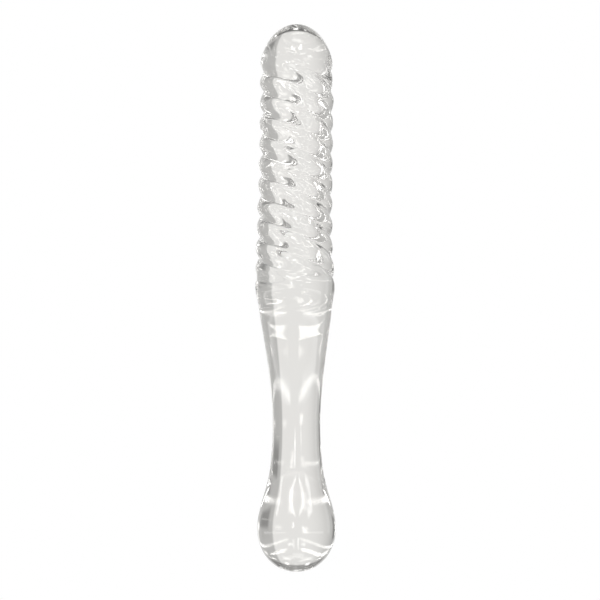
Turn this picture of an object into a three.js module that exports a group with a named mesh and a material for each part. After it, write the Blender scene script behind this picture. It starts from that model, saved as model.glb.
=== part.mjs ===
// A solid, clear glass wand: a domed tip, a rope-twisted shaft of four spiral ribs, a smooth
// tapered handle with a narrow waist, and a round bulb at the bottom end.
//
// Every solid here is one gather of hot glass as it is laid on before the wand is melted into a
// single piece: a core rod with the handle, four ribs wound round it, a domed tip that covers the
// ends of the ribs, and the bulb. Nothing on the wand moves.
//
// Millimetres, +Z up along the wand's axis, tip at the top. The origin is the lowest point of the
// bulb, on the axis.
import * as THREE from 'three';

// Overall outline at each knot, from the bulb upwards: radius, height, and slope, which is the
// radius gained per millimetre of height.
const LENGTH = 190;
const BULB = { radius: 13.4, z: 14.9, slope: 0 };
const BULB_SHOULDER = { radius: 11.4, z: 25.2, slope: -0.3 };
const NECK = { radius: 9.1, z: 34.8, slope: -0.125 };
const WAIST = { radius: 8.2, z: 49.7, slope: 0 };
const HANDLE_LOW = { radius: 9.2, z: 65, slope: 0.105 };
const HANDLE_MIDDLE = { radius: 11.25, z: 80, slope: 0.152 };
const HANDLE_HIGH = { radius: 12.6, z: 89.5, slope: 0.085 };
const COLLAR = { radius: 13.8, z: 97.6, slope: 0 };
const SHAFT_LOW = { radius: 13.2, z: 118, slope: -0.018 };
const SHAFT = { radius: 12.95, z: 163, slope: 0 };
const TIP = { radius: 12.75, z: 176, slope: 0 };
const KNOTS = [
  BULB, BULB_SHOULDER, NECK, WAIST, HANDLE_LOW, HANDLE_MIDDLE, HANDLE_HIGH, COLLAR, SHAFT_LOW,
  SHAFT, TIP,
];

// How far each round end's curve runs before it bends: inwards from its pole, and along the
// axis from its widest place.
const BULB_POLE_REACH = 7.6;
const BULB_SIDE_REACH = 8.8;
const TIP_POLE_REACH = 8.6;
const TIP_SIDE_REACH = 3.6;

// The twist: four ribs side by side, each rising one PITCH further round the shaft.
const RIB_COUNT = 4;
const PITCH = 7.3;
const LEAD = RIB_COUNT * PITCH;
const TWIST_DIRECTION = -1; // -1 is a left-handed twist
const TWIST_ZERO_Z = 1.8; // height at which the first rib's crest would be straight along +X
const GROOVE_DEPTH = 1.3;
const RIBS_BOTTOM = 96.5;
const RIBS_TOP = 181;
const BOTTOM_FADE = 8; // height over which the grooves deepen from nothing
const TOP_FADE = 11;

// The pieces and the gap between them.
const CORE_RADIUS = 6.2;
const BULB_SPLIT_Z = 33;
const GAP = 0.3;
const RIB_GAP_ANGLE = THREE.MathUtils.degToRad(5.5);

// How finely the round shapes are cut into flat faces.
const ROUND_SEGMENTS = 36;
const CURVE_POINTS = 6;
const RIB_WIDTH_SEGMENTS = 6;
const RIB_DEPTH_SEGMENTS = 2;
const RIB_HEIGHT_SEGMENTS = 78;

// The outline from one knot to the next, with both knots' slopes.
function stretch(from, to) {
  const reach = (to.z - from.z) / 3;
  return new THREE.CubicBezierCurve(
    new THREE.Vector2(from.radius, from.z),
    new THREE.Vector2(from.radius + from.slope * reach, from.z + reach),
    new THREE.Vector2(to.radius - to.slope * reach, to.z - reach),
    new THREE.Vector2(to.radius, to.z),
  );
}

// A round end: a quarter turn from a pole on the axis to the widest place.
function roundEnd(poleZ, widest, radialReach, axialReach) {
  const towardsPole = Math.sign(poleZ - widest.z);
  return new THREE.CubicBezierCurve(
    new THREE.Vector2(0, poleZ),
    new THREE.Vector2(radialReach, poleZ),
    new THREE.Vector2(widest.radius, widest.z + towardsPole * axialReach),
    new THREE.Vector2(widest.radius, widest.z),
  );
}

function reversed(curve) {
  return new THREE.CubicBezierCurve(curve.v3, curve.v2, curve.v1, curve.v0);
}

const bulbEnd = roundEnd(0, BULB, BULB_POLE_REACH, BULB_SIDE_REACH);
const middle = KNOTS.slice(1).map((knot, index) => stretch(KNOTS[index], knot));
const tipEnd = reversed(roundEnd(LENGTH, TIP, TIP_POLE_REACH, TIP_SIDE_REACH));

// All outline points from the bulb's pole to the tip's, each a Vector2 of radius and height.
function outlinePoints(pointsPerStretch) {
  const stretches = [bulbEnd, ...middle, tipEnd];
  return stretches.flatMap((curve, index) => {
    const points = curve.getPoints(pointsPerStretch);
    return index === 0 ? points : points.slice(1);
  });
}

const OUTLINE = outlinePoints(CURVE_POINTS);
const FINE_OUTLINE = outlinePoints(200);

// The outline's radius at one height.
function radiusAt(z) {
  const above = FINE_OUTLINE.findIndex((point) => point.y >= z);
  if (above <= 0) return FINE_OUTLINE[above === 0 ? 0 : FINE_OUTLINE.length - 1].x;
  const low = FINE_OUTLINE[above - 1];
  const high = FINE_OUTLINE[above];
  return THREE.MathUtils.mapLinear(z, low.y, high.y, low.x, high.x);
}

// The stretch of the outline between two heights, with a point exactly at each.
function outlineBetween(lowZ, highZ) {
  const margin = 0.5; // no sliver faces next to a cut
  const inside = OUTLINE.filter((point) => point.y > lowZ + margin && point.y < highZ - margin);
  const low = new THREE.Vector2(radiusAt(lowZ), lowZ);
  const high = new THREE.Vector2(radiusAt(highZ), highZ);
  return [low, ...inside, high];
}

// Turns a closed profile of radius and height points round the +Z axis.
function turned(profile) {
  const geometry = new THREE.LatheGeometry(profile, ROUND_SEGMENTS);
  geometry.rotateX(Math.PI / 2);
  return geometry;
}

function bulbGeometry() {
  const wall = outlineBetween(0, BULB_SPLIT_Z);
  return turned([...wall, new THREE.Vector2(0, BULB_SPLIT_Z)]);
}

// The handle up to the collar, and the thin core that the ribs are wound on.
function coreRodGeometry() {
  const bottom = BULB_SPLIT_Z + GAP;
  const shoulder = RIBS_BOTTOM - GAP;
  return turned([
    new THREE.Vector2(0, bottom),
    ...outlineBetween(bottom, shoulder),
    new THREE.Vector2(CORE_RADIUS, shoulder),
    new THREE.Vector2(CORE_RADIUS, RIBS_TOP),
    new THREE.Vector2(0, RIBS_TOP),
  ]);
}

function tipGeometry() {
  const bottom = RIBS_TOP + GAP;
  return turned([new THREE.Vector2(0, bottom), ...outlineBetween(bottom, LENGTH)]);
}

// How deep the grooves are at one height, from 0 at both ends of the ribs to 1 between.
function grooveStrength(z) {
  const fadeIn = THREE.MathUtils.smoothstep(z, RIBS_BOTTOM, RIBS_BOTTOM + BOTTOM_FADE);
  const fadeOut = THREE.MathUtils.smoothstep(z, RIBS_TOP - TOP_FADE, RIBS_TOP);
  return fadeIn * (1 - fadeOut);
}

// A box bent into one rib: its width runs round the shaft, its height runs from the core out to
// the rounded crest, and its depth climbs the wand as the rib winds round.
function ribGeometry(index) {
  const geometry = new THREE.BoxGeometry(
    1, 1, 1, RIB_WIDTH_SEGMENTS, RIB_DEPTH_SEGMENTS, RIB_HEIGHT_SEGMENTS,
  );
  const ribAngle = (2 * Math.PI) / RIB_COUNT;
  const position = geometry.attributes.position;
  for (let i = 0; i < position.count; i += 1) {
    const across = position.getX(i); // -0.5 to 0.5, 0 under the crest
    const outward = position.getY(i) + 0.5;
    const z = THREE.MathUtils.lerp(RIBS_BOTTOM, RIBS_TOP, position.getZ(i) + 0.5);
    const groove = GROOVE_DEPTH * grooveStrength(z) * (2 * across) ** 2;
    const outer = radiusAt(z) - groove;
    const radius = THREE.MathUtils.lerp(CORE_RADIUS + GAP, outer, outward);
    const turn = (TWIST_DIRECTION * 2 * Math.PI * (z - TWIST_ZERO_Z)) / LEAD;
    const angle = turn + index * ribAngle - across * (ribAngle - RIB_GAP_ANGLE);
    position.setXYZ(i, radius * Math.cos(angle), radius * Math.sin(angle), z);
  }
  return geometry;
}

function clearGlass() {
  return new THREE.MeshStandardMaterial({
    color: 0xf1f3f0, roughness: 0.02, metalness: 0, transparent: true, opacity: 0.35,
  });
}

function piece(name, geometry) {
  const mesh = new THREE.Mesh(geometry, clearGlass());
  mesh.name = name;
  return mesh;
}

const wand = new THREE.Group();
wand.add(piece('end_bulb', bulbGeometry()));
wand.add(piece('core_rod', coreRodGeometry()));
for (let index = 0; index < RIB_COUNT; index += 1) {
  wand.add(piece(`spiral_rib_${index + 1}`, ribGeometry(index)));
}
wand.add(piece('domed_tip', tipGeometry()));

export default wand;
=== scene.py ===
"""A solid clear glass wand, upright in front of a bright studio backdrop.

The wand is one piece of fused glass, so one closed mesh stands for all the CAD solids. Its
surface is made from the CAD model's own outline and twist, with the slight bend, uneven
ribs and soft ripples that hand-worked glass has.

The wand's own sizes are in millimetres, and the studio's and the camera's are in metres.
"""
import math

import bpy
import numpy as np
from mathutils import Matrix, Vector


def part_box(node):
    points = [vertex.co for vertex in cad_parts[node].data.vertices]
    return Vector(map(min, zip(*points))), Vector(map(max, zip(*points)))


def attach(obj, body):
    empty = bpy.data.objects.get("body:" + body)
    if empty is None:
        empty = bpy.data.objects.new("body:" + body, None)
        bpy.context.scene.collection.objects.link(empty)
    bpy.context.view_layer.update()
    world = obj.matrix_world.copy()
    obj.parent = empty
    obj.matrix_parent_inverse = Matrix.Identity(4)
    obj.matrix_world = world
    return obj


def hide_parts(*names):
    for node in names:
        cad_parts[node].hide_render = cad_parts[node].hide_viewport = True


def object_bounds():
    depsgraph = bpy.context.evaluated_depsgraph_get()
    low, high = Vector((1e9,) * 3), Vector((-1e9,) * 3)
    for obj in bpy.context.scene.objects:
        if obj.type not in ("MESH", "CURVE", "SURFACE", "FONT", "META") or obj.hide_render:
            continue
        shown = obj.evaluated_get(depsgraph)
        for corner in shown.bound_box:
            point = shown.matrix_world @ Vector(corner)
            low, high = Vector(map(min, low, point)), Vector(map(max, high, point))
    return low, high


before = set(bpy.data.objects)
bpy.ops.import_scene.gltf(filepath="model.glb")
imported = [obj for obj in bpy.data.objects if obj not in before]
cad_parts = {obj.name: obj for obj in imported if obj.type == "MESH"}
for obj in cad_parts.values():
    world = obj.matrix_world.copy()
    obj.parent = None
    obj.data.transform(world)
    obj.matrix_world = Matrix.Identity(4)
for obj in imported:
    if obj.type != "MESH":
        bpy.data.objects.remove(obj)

CAD_LOW, CAD_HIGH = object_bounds()
LENGTH = 190
MM = (CAD_HIGH.z - CAD_LOW.z) / LENGTH  # one millimetre of the CAD model, in metres

# Outline: radius, height and slope (radius gained per millimetre of height) at each knot.
BULB = (13.4, 14.9, 0)
BULB_SHOULDER = (11.4, 25.2, -0.30)
NECK = (9.1, 34.8, -0.125)
WAIST = (8.2, 49.7, 0)
HANDLE_LOW = (9.2, 65, 0.105)
HANDLE_MIDDLE = (11.25, 80, 0.152)
HANDLE_HIGH = (12.6, 89.5, 0.085)
COLLAR = (13.8, 97.6, 0)
SHAFT_LOW = (13.2, 118, -0.018)
SHAFT = (12.95, 163, 0)
TIP = (12.75, 176, 0)
KNOTS = [BULB, BULB_SHOULDER, NECK, WAIST, HANDLE_LOW, HANDLE_MIDDLE]
KNOTS += [HANDLE_HIGH, COLLAR, SHAFT_LOW, SHAFT, TIP]

# How far the two round ends keep their direction, from the pole and from the last knot.
BULB_POLE_REACH = 7.6
BULB_SIDE_REACH = 8.8
TIP_SIDE_REACH = 3.6
TIP_POLE_REACH = 8.6

# Twist: four ribs, left-handed.
RIB_COUNT = 4
PITCH = 7.3
LEAD = RIB_COUNT * PITCH
TWIST_DIRECTION = -1
TWIST_ZERO = 1.8  # height at which the first rib's crest would be straight along +X
GROOVE_DEPTH = 1.3
GROOVE_ROUNDING = 0.18  # rounding at the bottom of a groove, as a share of half a rib's width
RIBS_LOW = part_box("spiral_rib_1")[0].z / MM
RIBS_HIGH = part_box("spiral_rib_1")[1].z / MM
LOW_FADE = 8
HIGH_FADE = 11

# Soft ripples of hand-worked glass. Each wave: number around the wand, number per millimetre
# of height, depth in millimetres, and phase in radians.
CALM_WAVES = [(2, 0.009, 0.045, 0.8), (3, -0.014, 0.022, 2.5), (5, 0.021, 0.008, 1.1)]
WORKED_WAVES = [(3, 0.07, 0.06, 0.3), (5, -0.11, 0.05, 1.9), (9, 0.17, 0.034, 4.1)]
WORKED_WAVES += [(13, -0.19, 0.018, 2.2), (7, 0.23, 0.02, 5.0)]
CALM_POLE = 12  # how near a pole the ripples start to fade out

# Uneven ribs. Each wave: phase step from rib to rib, number per millimetre of height, share,
# and phase. The waves add up to between -1 (a thin rib) and 1 (a thick one).
RIB_WAVES = [(2.4, 0.052, 0.6, 0.4), (4.1, 0.121, 0.4, 2.0)]
GROOVE_WAVE = 0.15
CREST_WAVE = 0.08

# Bend: the shaft's axis is furthest to the left at one height.
BEND_DEPTH = 0.7
BEND_HEIGHT = 112
BEND_SPREAD = 30

# Mesh fineness.
COLUMNS_PER_RIB = 40
ROW_STEP = 0.42
CURVE_POINTS = 120

# Glass.
GLASS_INDEX = 1.474
WARM_TINT = (0.962, 0.946, 0.926, 1)
PLAIN_TINT = (0.952, 0.943, 0.924, 1)
TINT_BLEND = (0.35, 0.65)  # where in the noise the two tints begin and end blending
CORDS_PER_METRE = 55
CORD_DETAIL = 1.5
CORD_RELIEF = 0.02  # how deep the cords seem to ripple the surface

# The studio: a dome of light round the wand, hidden from the camera, which sees plain white.
# Azimuth 0 is straight behind the wand, +90 to its right and 180 behind the camera; angles
# are in degrees and brightness is 1 for white.
WHITE = (1, 1, 1, 1)
STUDIO_WHITE = (1, 1, 0.99, 1)
DOME_RADIUS = 5
DOME_STEP = 1.5
ROOM = 0.5
BACKDROP = 0.83
# The backdrop's brightness starts and ends fading at these azimuths and elevations.
BACKDROP_LEFT = (-62, -8)
BACKDROP_RIGHT = (23.5, 26)
BACKDROP_ENDS = (50, 70)
# Each light: azimuth, elevation, width, height, tilt (degrees it climbs per degree of azimuth),
# softness of its edges, brightness.
LIGHTS = {
    "softbox_left": (-164, 25.5, 24, 5, 0.5, 4, 7),
    "softbox_right": (160, 25.5, 21, 5, -0.5, 4, 7),
    "upper_left": (-168, 45, 16, 10, 0.3, 2, 10),
    "upper_right": (164, 45, 14, 10, -0.3, 2, 10),
    "front_high": (180, 66, 60, 12, 0.1, 10, 3.5),
    "front_low": (170, -62, 60, 8, 0, 8, 2.5),
    "low_left": (-160, -34, 18, 6, 0, 6, 6),
    "low_right": (156, -34, 14, 6, 0, 6, 6),
    "strip_right": (135, 21, 18, 8, -0.3, 5, 6),
    "strip_left": (-115, 20, 8, 10, 0, 4, 5),
    "band_left": (-110, -9.6, 80, 1.2, 0, 2, 5),
    "band_right": (125, -9.6, 60, 1.2, 0, 2, 5),
    "low_strip_right": (174, -33, 4, 26, 0, 4, 7),
    "low_strip_left": (-171, -34, 5, 20, 0, 4, 4.5),
    "glint_left": (-171, 5, 5, 9, 0, 4, 9),
    "glint_right": (161, 1, 5, 6, 0, 5, 4.5),
    "window_right": (73, 3, 14, 28, 0, 6, 1.3),
    "window_left": (-50, 26, 22, 8, 0, 5, 1.4),
    "window_up_right": (56, 27, 14, 5, 0, 4, 1.3),
    "top_back_left": (-18, 37, 6, 6, 0, 4, 1.7),
    "top_back_right": (14, 35, 5, 5, 0, 4, 1.7),
    "cloud_high_left": (-12, 26, 16, 3, 0.2, 5, 1.1),
    "cloud_high_right": (12, 24, 9, 3, -0.3, 5, 1.1),
    "cloud_low": (-3, -25, 20, 3, 0.2, 5, 1.1),
    "rim_glint_1": (2, -43, 10, 9, 0, 4, 2.5),
    "rim_glint_2": (-31, -48, 6, 8, 0, 4, 1.6),
    "rim_glint_3": (-18, -40, 4, 8, 0, 3, 1.4),
    "rim_glint_4": (30, -45, 5, 8, 0, 4, 1.4),
    "rim_glint_5": (-52, -42, 5, 8, 0, 4, 1.4),
    "ceiling": (0, 84, 360, 20, 0, 12, 0.75),
}
# Each flag darkens: azimuth, elevation, width, height, tilt, softness, share of light let through.
FLAGS = {
    "below_backdrop": (0, -58, 130, 54, 0, 6, 0.12),
    "side_left": (-74, -4, 34, 26, 0, 6, 0.35),
    "right_corner": (45, -13, 26, 15, 0, 6, 0.55),
    "above_backdrop": (0, 50, 150, 26, 0, 6, 0.4),
    "underneath": (0, -76, 360, 34, 0, 10, 0.25),
}
FLOOR_HALF_WIDTH = 4
FLOOR_DROP = 0.0005  # how far under the wand the floor is

# Camera: in front of the wand and a little below its middle, tilted up to the view's centre.
CAMERA_DISTANCE = 0.46
CAMERA_HEIGHT = 0.056
VIEW_CENTRE = (0.0012, 0, 0.0929)
VIEW_HEIGHT = 0.2079  # what the picture's height spans at the wand
SENSOR_WIDTH = 36
NEAR_CLIP = 0.01

# Light is followed through many layers of glass.
GLASS_BOUNCES = 96
MIRROR_BOUNCES = 48


def smoothstep(low, high, value):
    """0 below low, 1 above high, and a smooth climb between."""
    share = np.clip((value - low) / (high - low), 0, 1)
    return share * share * (3 - 2 * share)


def bezier(start, leave, arrive, end):
    """Points of a cubic curve, from start to end."""
    t = np.linspace(0, 1, CURVE_POINTS)[:, None]
    start, leave, arrive, end = (np.array(p, float) for p in (start, leave, arrive, end))
    return (
        (1 - t) ** 3 * start
        + 3 * (1 - t) ** 2 * t * leave
        + 3 * (1 - t) * t**2 * arrive
        + t**3 * end
    )


def stretch(low, high):
    """The outline from one knot to the next, with both knots' slopes."""
    reach = (high[1] - low[1]) / 3
    leave = (low[0] + low[2] * reach, low[1] + reach)
    arrive = (high[0] - high[2] * reach, high[1] - reach)
    return bezier(low[:2], leave, arrive, high[:2])


def outline():
    """Radius and height points from the bulb's pole to the tip's, along the ribs' crests."""
    beside_bulb = (BULB[0], BULB[1] - BULB_SIDE_REACH)
    beside_tip = (TIP[0], TIP[1] + TIP_SIDE_REACH)
    bulb_end = bezier((0, 0), (BULB_POLE_REACH, 0), beside_bulb, BULB[:2])
    tip_end = bezier(TIP[:2], beside_tip, (TIP_POLE_REACH, LENGTH), (0, LENGTH))
    parts = [bulb_end] + [stretch(low, high) for low, high in zip(KNOTS, KNOTS[1:])] + [tip_end]
    return np.concatenate([parts[0]] + [part[1:] for part in parts[1:]])


def even_rows(points, step):
    """The outline again, with points an even distance apart along it."""
    lengths = np.linalg.norm(np.diff(points, axis=0), axis=1)
    along = np.concatenate([[0], np.cumsum(lengths)])
    places = np.linspace(0, along[-1], round(along[-1] / step) + 1)
    radius = np.interp(places, along, points[:, 0])
    height = np.interp(places, along, points[:, 1])
    return radius, height


def groove_strength(height):
    """0 where the glass is smooth, 1 along the ribbed shaft."""
    fade_in = smoothstep(RIBS_LOW, RIBS_LOW + LOW_FADE, height)
    fade_out = smoothstep(RIBS_HIGH - HIGH_FADE, RIBS_HIGH, height)
    return fade_in * (1 - fade_out)


def ends_calm(height):
    """Fades the waves out at the poles, where they would crowd together."""
    from_bulb = smoothstep(0, CALM_POLE, height)
    to_tip = smoothstep(LENGTH - CALM_POLE, LENGTH, height)
    return from_bulb * (1 - to_tip)


def rib_section(across):
    """How far below its crest a rib's surface is, 0 at the crest to 1 in the groove."""
    from_groove = 1 - np.abs(across)
    rounded = np.sqrt(from_groove**2 + GROOVE_ROUNDING**2)
    rounded -= GROOVE_ROUNDING * (1 - from_groove)
    return 1 - np.clip(rounded * (2 - rounded), 0, 1)


def ripple(waves, place, height):
    """Sum of gentle waves, which run with the place (an angle or a rib's number) and height."""
    total = np.zeros(np.broadcast(place, height).shape)
    for per_place, per_millimetre, depth, phase in waves:
        total += depth * np.sin(per_place * place + 2 * math.pi * per_millimetre * height + phase)
    return total


def rib_columns():
    """For each column of the mesh, which rib it is on and where across it, from -1 to 1."""
    share = np.arange(COLUMNS_PER_RIB) / COLUMNS_PER_RIB
    across_one = -np.cos(math.pi * share)  # columns crowd together at the grooves
    rib = np.repeat(np.arange(RIB_COUNT), COLUMNS_PER_RIB)
    across = np.tile(across_one, RIB_COUNT)
    return rib[None, :], across[None, :]


def worked_radius(crest, height, angle, rib, across):
    """The glass's distance from the axis: the outline less grooves, with all unevenness."""
    strength = groove_strength(height)
    thickness = ripple(RIB_WAVES, rib, height)
    depth = (GROOVE_DEPTH + GROOVE_WAVE * thickness) * strength * rib_section(across)
    surface = crest - depth + strength * CREST_WAVE * (thickness - 1)
    surface += ripple(CALM_WAVES, angle, height) * ends_calm(height)
    surface += ripple(WORKED_WAVES, angle, height) * strength
    return surface


def ring_quads(rows, columns):
    """Four-sided faces between rings of vertices, each ring closed on itself."""
    first = np.arange(rows - 1)[:, None] * columns
    ring = np.arange(columns)[None, :]
    below = first + ring
    beside = first + (ring + 1) % columns
    return np.stack([below, beside, beside + columns, below + columns], axis=-1).reshape(-1, 4)


def pole_fans(rows, columns, bottom, top):
    """Triangles that close the first ring to the bottom vertex and the last to the top one."""
    last = (rows - 1) * columns
    beside = [(column + 1) % columns for column in range(columns)]
    fans = [(bottom, b, a) for a, b in enumerate(beside)]
    fans += [(top, last + a, last + b) for a, b in enumerate(beside)]
    return fans


def glass_surface():
    """Vertices in millimetres, row by row from the bulb's pole to the tip's, and the faces."""
    crest, height = even_rows(outline(), ROW_STEP)
    crest, height = crest[1:-1, None], height[1:-1, None]
    rib, across = rib_columns()
    turn = TWIST_DIRECTION * 2 * math.pi * (height - TWIST_ZERO) / LEAD
    angle = turn + (rib + across / 2) * 2 * math.pi / RIB_COUNT
    surface = worked_radius(crest, height, angle, rib, across)
    x = surface * np.cos(angle)
    y = surface * np.sin(angle)
    z = np.broadcast_to(height, x.shape)
    rows, columns = x.shape
    points = np.stack([x, y, z], axis=-1).reshape(-1, 3)
    bottom, top = len(points), len(points) + 1
    points = np.concatenate([points, [[0, 0, 0], [0, 0, LENGTH]]])
    faces = ring_quads(rows, columns).tolist() + pole_fans(rows, columns, bottom, top)
    return points, faces


def bend(points):
    """The wand's axis wanders by a fraction of a millimetre, as drawn glass does."""
    height = points[:, 2]
    points[:, 0] -= BEND_DEPTH * np.exp(-(((height - BEND_HEIGHT) / BEND_SPREAD) ** 2))
    return points


def make_wand():
    points, faces = glass_surface()
    mesh = bpy.data.meshes.new("glass_wand")
    mesh.from_pydata((bend(points) * MM).tolist(), [], faces)
    mesh.polygons.foreach_set("use_smooth", np.ones(len(mesh.polygons), bool))
    mesh.update()
    wand = bpy.data.objects.new("glass_wand", mesh)
    bpy.context.scene.collection.objects.link(wand)
    return wand


def clear_glass():
    """Clear glass with faint cords, which are the streaks that melted glass is drawn with."""
    material = bpy.data.materials.new("clear_glass")
    material.use_nodes = True
    tree = material.node_tree
    shader = tree.nodes["Principled BSDF"]
    place = tree.nodes.new("ShaderNodeTexCoord")
    cords = tree.nodes.new("ShaderNodeTexNoise")
    cords.inputs["Scale"].default_value = CORDS_PER_METRE
    cords.inputs["Detail"].default_value = CORD_DETAIL
    tint = tree.nodes.new("ShaderNodeValToRGB")
    for stop, position, color in zip(tint.color_ramp.elements, TINT_BLEND, (WARM_TINT, PLAIN_TINT)):
        stop.position = position
        stop.color = color
    relief = tree.nodes.new("ShaderNodeBump")
    relief.inputs["Strength"].default_value = 1.0
    relief.inputs["Distance"].default_value = CORD_RELIEF * MM
    tree.links.new(place.outputs["Object"], cords.inputs["Vector"])
    tree.links.new(cords.outputs["Fac"], tint.inputs["Fac"])
    tree.links.new(cords.outputs["Fac"], relief.inputs["Height"])
    tree.links.new(tint.outputs["Color"], shader.inputs["Base Color"])
    tree.links.new(relief.outputs["Normal"], shader.inputs["Normal"])
    shader.inputs["Roughness"].default_value = 0.0
    shader.inputs["IOR"].default_value = GLASS_INDEX
    shader.inputs["Transmission Weight"].default_value = 1.0
    return material


def soft_box(azimuth, elevation, box):
    """1 inside a box of directions, falling smoothly to 0 past its edges."""
    centre_azimuth, centre_elevation, width, height, tilt, softness = box
    from_centre = (azimuth - centre_azimuth + 180) % 360 - 180
    across = np.abs(from_centre) - width / 2
    along = np.abs(elevation - centre_elevation - tilt * from_centre) - height / 2
    inside_across = 1 - smoothstep(-softness / 2, softness / 2, across)
    inside_along = 1 - smoothstep(-softness / 2, softness / 2, along)
    return inside_across * inside_along


def studio_brightness(azimuth, elevation):
    """How bright the studio is in each direction."""
    fade_left = smoothstep(*BACKDROP_LEFT, azimuth)
    fade_right = 1 - smoothstep(*BACKDROP_RIGHT, azimuth)
    fade_ends = 1 - smoothstep(*BACKDROP_ENDS, np.abs(elevation))
    bright = ROOM + (BACKDROP - ROOM) * fade_left * fade_right * fade_ends
    for *box, let_through in FLAGS.values():
        bright *= 1 - (1 - let_through) * soft_box(azimuth, elevation, box)
    for *box, brightness in LIGHTS.values():
        share = soft_box(azimuth, elevation, box)
        bright = bright * (1 - share) + brightness * share
    return bright


def glowing_material(name, color):
    """A material that only gives off light, and its emission node."""
    material = bpy.data.materials.new(name)
    material.use_nodes = True
    tree = material.node_tree
    tree.nodes.clear()
    emission = tree.nodes.new("ShaderNodeEmission")
    emission.inputs["Color"].default_value = color
    output = tree.nodes.new("ShaderNodeOutputMaterial")
    tree.links.new(emission.outputs[0], output.inputs[0])
    return material, emission


def studio_glow():
    """Glows as brightly as the mesh's "glow" attribute says."""
    material, emission = glowing_material("studio_glow", STUDIO_WHITE)
    attribute = material.node_tree.nodes.new("ShaderNodeAttribute")
    attribute.attribute_name = "glow"
    material.node_tree.links.new(attribute.outputs["Fac"], emission.inputs["Strength"])
    material.cycles.emission_sampling = "NONE"
    return material


def make_dome():
    """The studio as a sphere of light round the wand, seen only in and through the glass."""
    azimuths = np.arange(-180, 180, DOME_STEP)
    elevations = np.arange(-90, 90 + DOME_STEP, DOME_STEP)
    azimuth, elevation = np.meshgrid(azimuths, elevations)
    east = np.sin(np.radians(azimuth)) * np.cos(np.radians(elevation))
    north = np.cos(np.radians(azimuth)) * np.cos(np.radians(elevation))
    up = np.sin(np.radians(elevation))
    points = np.stack([east, north, up], axis=-1).reshape(-1, 3) * DOME_RADIUS
    facing_in = ring_quads(len(elevations), len(azimuths))[:, [0, 3, 2, 1]]
    mesh = bpy.data.meshes.new("studio_dome")
    mesh.from_pydata(points.tolist(), [], facing_in.tolist())
    glow = mesh.attributes.new("glow", "FLOAT", "POINT")
    glow.data.foreach_set("value", studio_brightness(azimuth, elevation).ravel().astype("f"))
    mesh.materials.append(studio_glow())
    dome = bpy.data.objects.new("studio_dome", mesh)
    dome.location = (CAD_LOW + CAD_HIGH) / 2
    dome.visible_camera = False
    dome.visible_shadow = False
    bpy.context.scene.collection.objects.link(dome)


def make_floor():
    """A plain white floor, which the camera sees and the glass doesn't."""
    half = FLOOR_HALF_WIDTH
    corners = [(-half, -half, 0), (half, -half, 0), (half, half, 0), (-half, half, 0)]
    mesh = bpy.data.meshes.new("floor")
    mesh.from_pydata(corners, [], [(0, 1, 2, 3)])
    material, _ = glowing_material("white_floor", WHITE)
    mesh.materials.append(material)
    floor = bpy.data.objects.new("floor", mesh)
    floor.location = (0, 0, CAD_LOW.z - FLOOR_DROP)
    floor.visible_transmission = False
    floor.visible_glossy = False
    floor.visible_diffuse = False
    bpy.context.scene.collection.objects.link(floor)


def make_background():
    """Plain white behind everything."""
    world = bpy.data.worlds.new("white_background")
    bpy.context.scene.world = world
    world.use_nodes = True
    world.node_tree.nodes["Background"].inputs[0].default_value = WHITE


def make_camera():
    data = bpy.data.cameras.new("camera")
    camera = bpy.data.objects.new("camera", data)
    camera.location = (VIEW_CENTRE[0], -CAMERA_DISTANCE, CAMERA_HEIGHT)
    aim = Vector(VIEW_CENTRE) - camera.location
    data.sensor_width = SENSOR_WIDTH
    data.lens = SENSOR_WIDTH * aim.length / VIEW_HEIGHT
    data.clip_start = NEAR_CLIP
    camera.rotation_mode = "QUATERNION"
    camera.rotation_quaternion = aim.to_track_quat("-Z", "Y")
    bpy.context.scene.collection.objects.link(camera)
    bpy.context.scene.camera = camera


wand = make_wand()
wand.data.materials.append(clear_glass())
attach(wand, "root")
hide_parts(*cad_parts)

make_dome()
make_floor()
make_background()
make_camera()

scene = bpy.context.scene
scene.view_settings.view_transform = "Standard"
scene.cycles.max_bounces = GLASS_BOUNCES
scene.cycles.transmission_bounces = GLASS_BOUNCES
scene.cycles.glossy_bounces = MIRROR_BOUNCES
